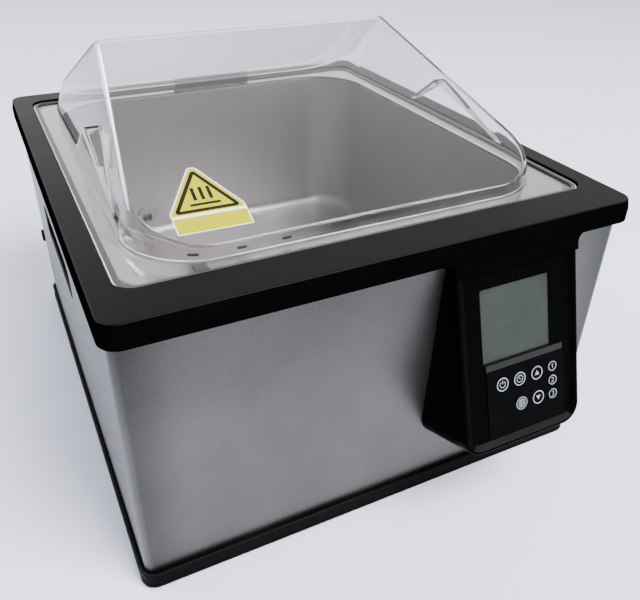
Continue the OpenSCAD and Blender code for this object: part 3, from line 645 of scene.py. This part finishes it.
def make_lid():
    """The lid as one sheet, with the slots cut, painted shade in the slots and a painted highlight
    on the bulges' rounded edges.
    """
    bm = bmesh.new()
    outer = lid_skin(bm, 0.0)
    inner = lid_skin(bm, SHEET)
    for i in range(len(outer)):
        j = (i + 1) % len(outer)
        bm.faces.new((outer[i], inner[i], inner[j], outer[j]))
    piece = link_mesh(
        "lid_shell", bm, finish["clear_polycarbonate"], "lid_cover", ["lid"]
    )
    low, high = FOOT + SLOT_LOW, FOOT + SLOT_HIGH
    front = LID_MIDDLE - LID_Y
    behind = front + 9
    for x in SLOTS:
        cut(piece, box_bm((x - SLOT_HALF, front - 2, low), (x + SLOT_HALF, behind, high)))

    def in_slot(p, n):
        beside = any(abs(p.x - x) < SLOT_HALF + 0.1 for x in SLOTS)
        return abs(n.y) < 0.5 and p.y < behind and low - 0.1 < p.z < high + 0.1 and beside

    def bulge_edge(p, n):
        outside = abs(p.x) > LID_X - SHEET - 1 and p.z > LIP + 2 and BULGE[0] < p.y < BULGE[2]
        return outside and 0.15 < abs(n.z) < 0.97

    # The slots' inner faces get a dark finish: painted shade
    second_finish(piece, slot_painted_shade, in_slot)
    # The bulges' rounded edges get a light, half-clear finish: a painted highlight
    second_finish(piece, bulge_edge_painted_highlight, bulge_edge)


make_lid()

# ---------------------------------------------------------------- tank

# Half width, half depth and corner radius of the tank's opening, and its middle in Y
OPEN_X, OPEN_Y, OPEN_R, WELL_Y = 148.5, 162.0, 40.0, 4.5
# Heights of the tank's floor and rim, thickness of its sheet, radius between floor and wall
FLOOR_Z, RIM_Z, GAUGE, FILLET = 66.2, 211.0, 1.2, 11.0
# Half width, half depth and corner radius of the flat part of the floor
FLAT = (90, 103, 4)
# Drain port in the back wall
PORT_X, PORT_Z, PORT_R = -76, 86, 8
# Half width, half depth and corner radius of the rim round the tank
RIM_X, RIM_Y, RIM_R = 160, 173.5, 18


def make_tank():
    """The tank as one pan of even thickness, with its drain port."""

    def inside(i, z):
        return rounded(OPEN_X - i, OPEN_Y - i, OPEN_R - min(i, 25), WELL_Y, z)

    bend_z = FLOOR_Z + FILLET
    under = FILLET + GAUGE
    # outside, from below the floor up to the rim
    rings = [rounded(*FLAT, WELL_Y, FLOOR_Z - GAUGE)]
    for k in range(5):
        a = math.radians(90 - 22.5 * k)
        rings.append(inside(under * (1 - math.cos(a)) - GAUGE, bend_z - under * math.sin(a)))
    rings += [inside(-GAUGE, RIM_Z - 1.2), inside(-GAUGE, RIM_Z - 0.15)]
    rings += [inside(-GAUGE + 0.25, RIM_Z), inside(-0.5, RIM_Z)]
    # over the rounded edge, then down the inside
    for k in range(5):
        a = math.radians(22.5 * k)
        rings.append(inside(-0.5 + 0.5 * math.sin(a), RIM_Z - 0.9 + 0.9 * math.cos(a)))
    rings += [inside(0, z) for z in (190, 150, 110, 90)]
    for k in range(6):
        a = math.radians(18 * k)
        rings.append(inside(FILLET * (1 - math.cos(a)), bend_z - FILLET * math.sin(a)))
    rings.append(rounded(*FLAT, WELL_Y, FLOOR_Z))
    bm = bmesh.new()
    loft(bm, rings)
    piece = link_mesh("tank_pan", bm, finish["tank_steel"], "bath", ["tank"])
    port = bmesh.new()
    bmesh.ops.create_cone(
        port, cap_ends=True, segments=48, radius1=PORT_R * MM, radius2=PORT_R * MM,
        depth=14 * MM,
        matrix=Matrix.Translation(Vector((PORT_X, WELL_Y + OPEN_Y, PORT_Z)) * MM)
        @ Matrix.Rotation(math.pi / 2, 4, "X"),
    )
    cut(piece, port)


make_tank()


def make_tank_rim():
    """Flat rim with a slightly rolled edge on both sides."""

    def ring(out, z):
        return rounded(RIM_X - out, RIM_Y - out, RIM_R - out, WELL_Y, z, 16)

    def inner(out, z):
        g = GAUGE + out
        return rounded(OPEN_X + g, OPEN_Y + g, OPEN_R + g, WELL_Y, z, 16)

    low, high = RIM_Z - 1.0, RIM_Z
    rings = [
        ring(0.25, low), ring(0, low + 0.25), ring(0, high - 0.3), ring(0.1, high - 0.1),
        ring(0.3, high), inner(2.2, high), inner(0.25, high), inner(0.02, high - 0.25),
        inner(0.02, low + 0.1), inner(0.2, low),
    ]
    bm = bmesh.new()
    loft(bm, rings, closed=True)
    link_mesh("tank_rim_detail", bm, finish["rim_steel"], "bath", ["tank_rim"])


make_tank_rim()

# ---------------------------------------------------------------- control housing

# How far the face leans back, and the point of it that places on the face are measured from
TILT = math.atan(0.319)
PANEL_X, FACE_Y, FACE_Z = 83.0, -205.0, 200.0
# Half width, lower end and corner radius of the face, and where it meets the bezel's collar
HALF_W, PANEL_L, FACE_R, FACE_CUT = 49.3, 136.0, 14.0, 10.6
# Shift of the outline across the face, depth of its dish
OUTLINE_X, DISH = -1.3, 2.2
# The casing's front wall, and how far the housing's sides spread over their depth
CASE_FRONT, WIDEN = -197.4, 3.6
# Middle of the display on the face
LCD_X, LCD_DOWN = -3, 47.5
ACROSS = Vector((1, 0, 0))
UP_FACE = Vector((0, math.sin(TILT), math.cos(TILT)))
OUT_FACE = Vector((0, -math.cos(TILT), math.sin(TILT)))


def on_face(x, down, out=0.0):
    return Vector((PANEL_X, FACE_Y, FACE_Z)) + ACROSS * x - UP_FACE * down + OUT_FACE * out


def face_ring(grow, out):
    """Outline of the face at one depth: square at the collar, round at its lower corners."""
    left, right = OUTLINE_X - HALF_W - grow, OUTLINE_X + HALF_W + grow
    bottom, r = PANEL_L + grow, FACE_R + grow
    turns = [math.radians(90 * k / 14) for k in range(15)]
    plan = [(left, FACE_CUT), (left, 60)]
    plan += [(left + r - r * math.cos(a), bottom - r + r * math.sin(a)) for a in turns]
    plan += [(right - r + r * math.sin(a), bottom - r + r * math.cos(a)) for a in turns]
    plan += [(right, 60), (right, FACE_CUT)]
    return [on_face(x, down, out) for x, down in plan]


def side_grow(out):
    """The housing's sides spread from just under its face to 50 mm below it."""
    return WIDEN * (-out - 0.1) / 49.9


def face_pocket(x, down, half_x, half_y, low, high):
    """Solid with round corners that takes a pocket out of the face between two depths."""
    bm = bmesh.new()
    loft(
        bm,
        [
            [on_face(x + px, down - py, out) for px, py, _ in rounded(half_x, half_y, 0.8, 0, 0, 4)]
            for out in (low, high)
        ],
    )
    return bm


def make_housing():
    """Housing below its collar, and the face with a rounded outer edge and a dish."""
    bm = bmesh.new()
    loft(bm, [face_ring(side_grow(z), z) for z in (-50, -30, -4.15)] + [face_ring(0.05, -4.0)])
    bmesh.ops.bisect_plane(
        bm, geom=bm.verts[:] + bm.edges[:] + bm.faces[:], plane_co=(0, (CASE_FRONT + 0.4) * MM, 0),
        plane_no=(0, 1, 0), clear_outer=True,
    )
    bmesh.ops.holes_fill(bm, edges=[e for e in bm.edges if e.is_boundary], sides=0)
    shell = link_mesh(
        "housing_shell", bm, finish["housing_plastic"], "bath", ["control_housing"],
    )
    # pocket behind the keys
    cut(shell, face_pocket(3.4, 99.5, 28.5, 17.5, -6.5, -3.0))
    steps = [(0.28, -4.0), (side_grow(-2.4), -2.4)]
    for k in range(1, 6):
        a = math.radians(18 * k)
        steps.append((0.1 - 1.5 * (1 - math.cos(a)), -1.5 + 1.5 * math.sin(a)))
    steps += [(-2.0, 0.0), (-2.3, -0.08), (-2.7, -0.3), (-6.2, -1.98), (-6.6, -2.14), (-7.1, -DISH)]
    bm = bmesh.new()
    loft(bm, [face_ring(g, z) for g, z in steps])
    face = link_mesh(
        "face_shell", bm, finish["face_plastic"], "bath", ["face_panel"]
    )
    # opening for the display
    cut(face, face_pocket(LCD_X, LCD_DOWN, 28.8, 25.9, -4.3, 2.0))
    # the lower edge of the dish faces up; the faces that look up get a lighter, glossier finish, a
    # painted highlight
    second_finish(face, painted_highlight, lambda p, n: n.z > 0.6)


make_housing()


def display_plate(name, half_x, half_y, r, low, high, edge, material, replaced):
    """Flat part of the display with round corners, between two depths under the face."""
    outline = [(LCD_X + px, LCD_DOWN - py) for px, py, _ in rounded(half_x, half_y, r, 0, 0, 5)]
    bm = bmesh.new()
    bottom = [bm.verts.new(on_face(x, d, low) * MM) for x, d in outline]
    top = [bm.verts.new(on_face(x, d, high) * MM) for x, d in outline]
    bm.faces.new(bottom[::-1])
    bm.faces.new(top)
    for i in range(len(outline)):
        j = (i + 1) % len(outline)
        bm.faces.new((bottom[i], bottom[j], top[j], top[i]))
    bmesh.ops.recalc_face_normals(bm, faces=bm.faces)
    round_edges(bm, edge, 2)
    link_mesh(name, bm, finish[material], "bath", replaced)


# Display: backing, glass, clear window over it
display_plate(
    "lcd_backing", 32.8, 28.9, 1, -8.2, -4.6, 0.3, "part_plastic", ["lcd_module"]
)
display_plate("lcd_glass", 28.7, 25.8, 0.5, -4.6, -3.92, 0.15, "lcd", [])
display_plate(
    "display_window_detail", 28.55, 25.65, 0.7, -3.4, -2.25, 0.2, "window_clear",
    ["display_window"],
)


# ---------------------------------------------------------------- printed marks


def stroke(points, width, closed=False):
    """Ribbon of quads along a line, as a list of outlines."""
    pts = [Vector(p) for p in points]
    count = len(pts)
    left, right = [], []
    for i, p in enumerate(pts):
        a = pts[i - 1] if i or closed else p
        b = pts[(i + 1) % count] if i < count - 1 or closed else p
        d = (b - a).normalized()
        side = Vector((-d.y, d.x)) * width / 2
        if a != p and b != p:
            turn = (p - a).normalized().dot((b - p).normalized())
            side *= min(1.8, 1 / math.sqrt(max(0.1, (1 + turn) / 2)))
        left.append(p + side)
        right.append(p - side)
    quads = []
    for i in range(count if closed else count - 1):
        j = (i + 1) % count
        quads.append([left[i], left[j], right[j], right[i]])
    return quads


def arc(r, start, end, n=24):
    turns = [math.radians(start + (end - start) * k / n) for k in range(n + 1)]
    return [(r * math.cos(a), r * math.sin(a)) for a in turns]


def marks(name, outlines, place, height, material, body):
    """Thin printed shapes; place turns (across, up, out) into a point in millimetres."""
    bm = bmesh.new()
    for outline in outlines:
        low = [bm.verts.new(place(p[0], p[1], 0.0) * MM) for p in outline]
        high = [bm.verts.new(place(p[0], p[1], height) * MM) for p in outline]
        bm.faces.new(high)
        bm.faces.new(low[::-1])
        for i in range(len(outline)):
            j = (i + 1) % len(outline)
            bm.faces.new((low[i], low[j], high[j], high[i]))
    mesh = bpy.data.meshes.new(name)
    bmesh.ops.recalc_face_normals(bm, faces=bm.faces)
    bm.to_mesh(mesh)
    bm.free()
    mesh.materials.append(material)
    piece = bpy.data.objects.new(name, mesh)
    bpy.context.scene.collection.objects.link(piece)
    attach(piece, body)
    return piece


def ring_mark(r, width, n=40):
    return stroke(arc(r, 0, 360 - 360 / n, n - 1), width, True)


# Where the print on the keys starts, a little under their tops: the dish, then the film's
# gap and thickness, then how far a key stands over the film
PRINT_OUT = -DISH + 0.1 + 0.6 + 0.25 - 0.05


def key_marks(key, outlines, material=print_grey, layer="", lift=0.0):
    x, down, _ = KEYS[key]

    def place(u, v, out):
        return on_face(x + u, down - v, PRINT_OUT + lift + out)

    name = key + layer + "_print"
    marks(name, outlines, place, 0.06, material, key + "_button")


# Middle of each key across and down the face, and its radius
KEYS = {
    "power": (-17.4, 90.5, 5.2),
    "timer": (-2.8, 90.5, 5.2),
    "up": (12.1, 90.5, 5.2),
    "menu": (-1.9, 109.0, 5.2),
    "down": (12.8, 109.0, 5.2),
    "program_1": (25.8, 89.4, 3.9),
    "program_2": (25.8, 99.75, 3.9),
    "program_3": (25.8, 110.1, 3.9),
}
triangle = [(-2.0, -1.45), (2.0, -1.45), (0.0, 2.0)]
symbols = {
    "power": stroke(arc(2.2, 125, 415), 0.55) + stroke([(0, 0.2), (0, 2.9)], 0.55),
    "timer": ring_mark(2.5, 0.5)
    + stroke([(-1.2, 1.3), (0, 0), (0.9, -0.6)], 0.5)
    + stroke([(0, 2.3), (0, 1.5)], 0.5),
    "up": [triangle],
    "down": [[(x, -y) for x, y in reversed(triangle)]],
    "program_1": stroke([(-0.7, 0.9), (0.15, 1.7), (0.15, -1.7)], 0.42),
    "program_2": stroke(
        [(-0.9, 0.9), (-0.55, 1.5), (0.1, 1.7), (0.75, 1.4), (0.85, 0.7), (0.4, -0.1),
         (-0.95, -1.6), (1.0, -1.6)], 0.42,
    ),
    "program_3": stroke(
        [(-0.85, 1.3), (-0.2, 1.7), (0.6, 1.5), (0.8, 0.8), (0.3, 0.2), (-0.2, 0.1), (0.4, 0.0),
         (0.9, -0.7), (0.6, -1.5), (-0.2, -1.75), (-0.9, -1.3)], 0.42,
    ),
}
for key, (_, _, r) in KEYS.items():
    refine(key + "_key", 0.18, 2)
    if key == "menu":
        key_marks("menu", [arc(4.8, 0, 360 - 9, 39)], print_disc, "_filled")
        page = stroke([(-1.7, -2.4), (1.9, -2.4), (1.9, 2.4), (-1.7, 2.4)], 0.45, True)
        page += stroke([(-0.6, -2.4), (-0.6, 2.4)], 0.4) + ring_mark(4.6, 0.35)
        page += stroke([(0.2, 0.9), (1.3, 0.9)], 0.35) + stroke([(0.2, -0.3), (1.3, -0.3)], 0.35)
        key_marks("menu", page, print_grey, "_page", 0.05)
    else:
        width = 0.75 if r > 5 else 0.6
        key_marks(key, ring_mark(r - 0.3 - width / 2, width) + symbols[key])

# ---------------------------------------------------------------- label on the lid

SLOPE = math.atan(FRONT)
# Middle of the label in X and up the slope, and how far it is turned, as stuck by hand
LABEL_X, LABEL_UP, LABEL_TURN = -99.0, 38, math.radians(-1.5)
# Where the front slope's line meets the plane of the front wall
EDGE = Vector((0, LID_MIDDLE - LID_Y, RIDGE_Z - FRONT * (RIDGE_Y - LID_MIDDLE + LID_Y)))


def on_lid(u, v, out):
    """Point on the lid's front slope: u across, v up the slope from its lower edge."""
    c, s = math.cos(LABEL_TURN), math.sin(LABEL_TURN)
    du, dv = u, v - LABEL_UP
    u, v = c * du - s * dv, s * du + c * dv + LABEL_UP
    return (
        EDGE
        + Vector((LABEL_X + u, 0, 0))
        + Vector((0, math.cos(SLOPE), math.sin(SLOPE))) * v
        + Vector((0, -math.sin(SLOPE), math.cos(SLOPE))) * out
    )


def soft_polygon(points, r, n=5):
    """Polygon with rounded corners."""
    out = []
    count = len(points)
    for i in range(count):
        a, b, c = (Vector(points[j % count]) for j in (i - 1, i, i + 1))
        start, end = b + (a - b).normalized() * r, b + (c - b).normalized() * r
        for k in range(n + 1):
            t = k / n
            out.append(tuple(start * (1 - t) ** 2 + b * 2 * t * (1 - t) + end * t * t))
    return out


def label_layer(name, outlines, height, thick, material):
    """One layer of the label, at a height over the lid."""

    def place(u, v, out):
        return on_lid(u, v, height + out)

    return marks(name, outlines, place, thick, material, "lid_cover")


film_outline = [(-23.2, 11.2), (23.2, 11.2), (23.2, 29), (2.4, 66), (-2.4, 66), (-23.2, 29)]
film = label_layer(
    "label_film_white", [soft_polygon(film_outline, 1.2)], 0.10, 0.16, finish["label_film"]
)
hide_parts("lid_label")
plate = [(-22.4, 26.4), (22.4, 26.4), (22.4, 28.6), (1.9, 65.2), (-1.9, 65.2), (-22.4, 28.6)]
label_layer("label_yellow_triangle", [soft_polygon(plate, 1.0)], 0.25, 0.03, label_yellow)
strip = [(-22.5, 11.8), (22.5, 11.8), (22.5, 24), (-22.5, 24)]
label_layer("label_yellow_strip", [soft_polygon(strip, 0.8)], 0.25, 0.03, label_yellow)
border = stroke(soft_polygon([(-18.9, 28.6), (18.9, 28.6), (0, 62.0)], 1.8), 2.5, True)
base_bar = [(-9.5, 32.4), (9.5, 32.4), (9.5, 34.4), (-9.5, 34.4)]
bars = [[(x - 1.1, 37), (x + 1.1, 37), (x + 1.1, 48), (x - 1.1, 48)] for x in (-5, 0, 5)]
label_layer("label_dark_border", border + [base_bar] + bars, 0.27, 0.03, label_black)

# ---------------------------------------------------------------- refined CAD nodes

# Top of the bezel and lower edge of its skirt
TOP_Z, SKIRT_Z = 216.0, 200.7
# Half width and half depth of lines between the bezel's recess and its outer edge, and
# between the skirt's inside and its outside
TOP_LINE, SKIRT_LINE = (172, 196), (180, 204)
# Line along the clear ring's raised edge: middles of its round corners, and their radius
RING_X, RING_Y, RING_R = 152.5, 165.7, 11


def beyond(p, half_x, half_y):
    return abs(p.x) > half_x or abs(p.y) > half_y


def bezel_outer(p):
    return p.z > TOP_Z - 0.1 and beyond(p, *TOP_LINE)


def bezel_recess(p):
    return p.z > TOP_Z - 0.1


def bezel_foot(p):
    return p.z < SKIRT_Z + 0.1 and beyond(p, *SKIRT_LINE)


def ring_edge(p):
    """Outer part of the clear ring's raised edge."""
    over_x, over_y = max(abs(p.x) - RING_X, 0), max(abs(p.y - WELL_Y) - RING_Y, 0)
    return p.z > FOOT and math.hypot(over_x, over_y) > RING_R


bezel = refine(
    "top_bezel", 0.4, 2, [(bezel_outer, 0.9, 3), (bezel_recess, 0.7, 3), (bezel_foot, 1.3, 3)]
)
# The bezel's sides get a darker finish without sheen, painted shade, so only its top has a sheen;
# the tray's flat steps get a lighter, glossier finish, a painted highlight
second_finish(bezel, bezel_side_painted_shade, lambda p, n: n.z < 0.5)
refine("support_ledge", 0.2, 1)
refine("outer_casing", 0.5, 2)
tray = refine("base_tray", 0.35, 2)
second_finish(tray, painted_highlight, lambda p, n: n.z > 0.9)
for name, radius in (
    ("rubber_feet", 0.5), ("grip_cup_left", 0.6), ("grip_cup_right", 0.6),
    ("display_sill", 0.35), ("keypad_overlay", 0.15),
):
    refine(name, radius, 2)
# The clear ring is duller and darker on its raised edge, and along the outside of that edge it gets
# a light opaque finish, a painted highlight
ring = refine("lid_frame", 0.3, 2, [(ring_edge, 0.9, 3)])
second_finish(ring, curb_clear, lambda p, n: p.z > FOOT - 0.1)
second_finish(ring, curb_painted_highlight, lambda p, n: ring_edge(p) and 0.2 < n.z < 0.97)
for name, radius, segments in (
    ("hinge_bracket", 0.5, 3), ("hinge_leaf", 0.5, 3), ("hinge_pin", 0.25, 2),
    ("rear_panel", 0.25, 2), ("rear_panel_screws", 0.3, 2), ("inlet_socket", 0.6, 3),
    ("inlet_screws", 0.3, 2), ("inlet_pins", 0.3, 2), ("fuse_drawer", 0.3, 2),
    ("switch_frame", 0.5, 2), ("rocker", 0.4, 3), ("reset_bushing", 0.4, 2),
    ("reset_button", 0.7, 3), ("valve_body", 0.5, 2), ("drain_lever", 0.9, 3),
    ("drain_fitting", 0.5, 3), ("foot_screws", 0.2, 1),
):
    refine(name, radius, segments)

# The CAD nodes that are still seen take their finishes too
for name, obj in frame["nodes"].items():
    if not obj.hide_render:
        obj.data.materials.clear()
        obj.data.materials.append(finish[slot_of[name]])

# ---------------------------------------------------------------- floor, light, camera

floor_material = surface(
    "floor_pale", (0.75, 0.81, 0.98), (0.79, 0.85, 1.0), (0.45, 0.6), grain=60.0, mottle=2.0,
    bump=0.03, depth=0.0002,
)
bm = bmesh.new()
bmesh.ops.create_circle(bm, cap_ends=True, segments=64, radius=9.0)
floor_mesh = bpy.data.meshes.new("floor")
bm.to_mesh(floor_mesh)
bm.free()
floor_mesh.materials.append(floor_material)
floor = bpy.data.objects.new("floor", floor_mesh)
bpy.context.scene.collection.objects.link(floor)

# A room that is brighter behind the object than in front of it
world = bpy.data.worlds.new("soft_room")
bpy.context.scene.world = world
world.use_nodes = True
tree = world.node_tree
tree.nodes.clear()
back = node(tree, "ShaderNodeBackground", Strength=2.0)
way = node(tree, "ShaderNodeTexCoord")
toward = node(tree, "ShaderNodeVectorMath", operation="DOT_PRODUCT")
toward.inputs[1].default_value = (0.1, 0.95, 0.1)
sky = node(tree, "ShaderNodeValToRGB")
sky.color_ramp.elements[0].color = (0.18, 0.18, 0.19, 1)
sky.color_ramp.elements[1].color = (1.0, 1.0, 1.0, 1)
lift = map_range(tree, 0.3, 0.85)
tree.links.new(way.outputs["Generated"], toward.inputs[0])
tree.links.new(toward.outputs["Value"], lift.inputs["Value"])
tree.links.new(lift.outputs["Result"], sky.inputs["Fac"])
tree.links.new(sky.outputs["Color"], back.inputs["Color"])
tree.links.new(back.outputs["Background"], node(tree, "ShaderNodeOutputWorld").inputs["Surface"])


def soft_light(name, place, target, size, power, color):
    """Rectangular lamp in metres and watts, aimed at a point."""
    data = bpy.data.lights.new(name, "AREA")
    data.shape = "RECTANGLE"
    data.size, data.size_y = size
    data.energy = power
    data.color = color
    lamp = bpy.data.objects.new(name, data)
    bpy.context.scene.collection.objects.link(lamp)
    lamp.location = place
    aim = Vector(target) - Vector(place)
    lamp.rotation_mode = "QUATERNION"
    lamp.rotation_quaternion = aim.to_track_quat("-Z", "Y")


soft_light("front_ceiling", (0.9, -1.7, 2.4), (0, 0, 0), (1.8, 1.8), 290, (1.0, 0.99, 0.97))
soft_light("back_left", (-1.3, 1.5, 1.9), (0, 0, 0.1), (1.2, 0.8), 50, (0.97, 0.98, 1.0))

# The camera fitted to the photograph: its place in metres, where it looks from, its turn
EYE = Vector((-0.2068, -0.4881, 0.4107))
AZ, EL, ROLL = math.radians(-26.104), math.radians(32.109), math.radians(0.775)
back_v = Vector((math.sin(AZ) * math.cos(EL), -math.cos(AZ) * math.cos(EL), math.sin(EL)))
right_v = Vector((math.cos(AZ), math.sin(AZ), 0))
up_v = back_v.cross(right_v)
right_r = right_v * math.cos(ROLL) + up_v * math.sin(ROLL)
up_r = up_v * math.cos(ROLL) - right_v * math.sin(ROLL)
camera_data = bpy.data.cameras.new("camera")
camera_data.sensor_width, camera_data.lens = 36, 38.26
camera_data.shift_x, camera_data.shift_y = 0.0198, -0.0251
camera_data.clip_start = 0.01
camera = bpy.data.objects.new("camera", camera_data)
bpy.context.scene.collection.objects.link(camera)
turned = Matrix((right_r, up_r, back_v)).transposed().to_4x4()
camera.matrix_world = Matrix.Translation(EYE) @ turned
bpy.context.scene.camera = camera
